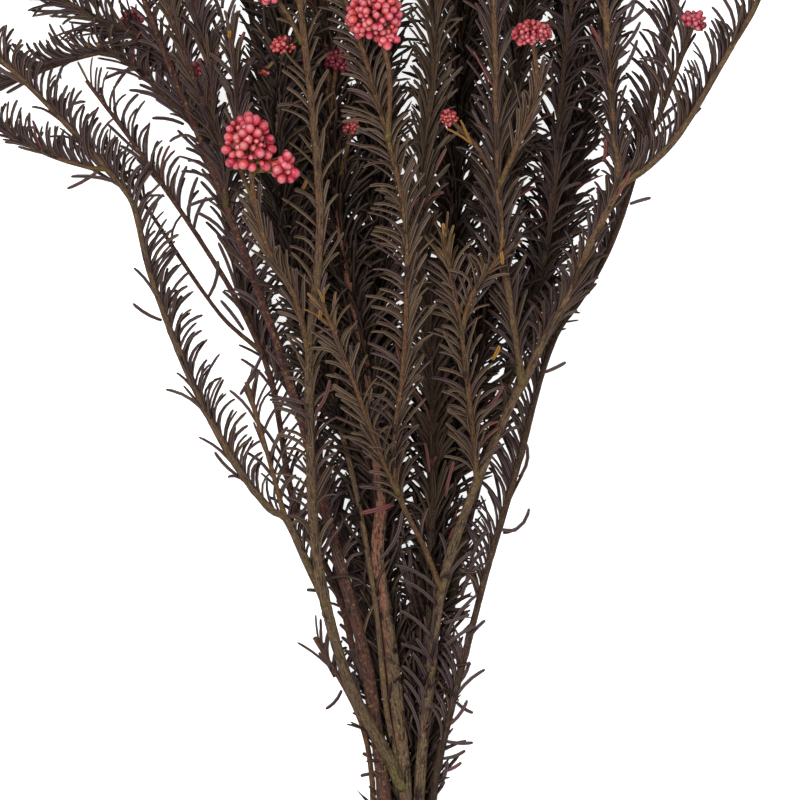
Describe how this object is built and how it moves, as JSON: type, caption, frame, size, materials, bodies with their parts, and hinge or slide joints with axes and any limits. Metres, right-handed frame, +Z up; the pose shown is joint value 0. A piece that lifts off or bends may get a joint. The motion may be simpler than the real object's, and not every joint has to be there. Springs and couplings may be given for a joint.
{
  "type": "dried rice flower arrangement",
  "caption": "Loose bunch of cut, dried rice flower stems with needle leaves and pink bud heads, lying flat as on a table.",
  "frame": {"origin": "on the surface the bunch lies on, under the middle of its box", "axes": "+X across the bunch, +Y from the cut ends of the stems to the flower heads, +Z up from the surface"},
  "size_m": [0.3023, 0.4673, 0.0979],
  "materials": {
    "olive_bark": "matte",
    "red_bark": "matte",
    "dark_bark": "matte",
    "dried_leaves": "matte",
    "pink_buds": "satin"
  },
  "bodies": {
    "root": {"middle_stem": "olive_bark", "right_stem": "olive_bark", "outer_right_stem": "dark_bark", "red_stem": "red_bark", "thin_left_twig": "olive_bark", "back_stem_1": "dark_bark", "back_stem_2": "dark_bark", "back_stem_3": "dark_bark", "back_stem_4": "dark_bark", "flower_head_01": "pink_buds", "flower_head_02": "pink_buds", "flower_head_03": "pink_buds", "flower_head_04": "pink_buds", "flower_head_05": "pink_buds", "flower_head_06": "pink_buds", "flower_head_07": "pink_buds", "flower_head_08": "pink_buds", "flower_head_09": "pink_buds", "flower_head_10": "pink_buds", "flower_head_11": "pink_buds", "flower_head_12": "pink_buds", "flower_head_13": "pink_buds", "flower_head_14": "pink_buds", "flower_head_15": "pink_buds", "flower_head_16": "pink_buds", "flower_head_17": "pink_buds", "flower_head_18": "pink_buds", "flower_head_19": "pink_buds", "flower_head_20": "pink_buds", "flower_head_21": "pink_buds", "flower_head_22": "pink_buds", "flower_head_23": "pink_buds", "flower_head_24": "pink_buds", "flower_head_25": "pink_buds", "flower_head_26": "pink_buds", "flower_head_27": "pink_buds", "flower_head_28": "pink_buds"}
  },
  "joints": []
}
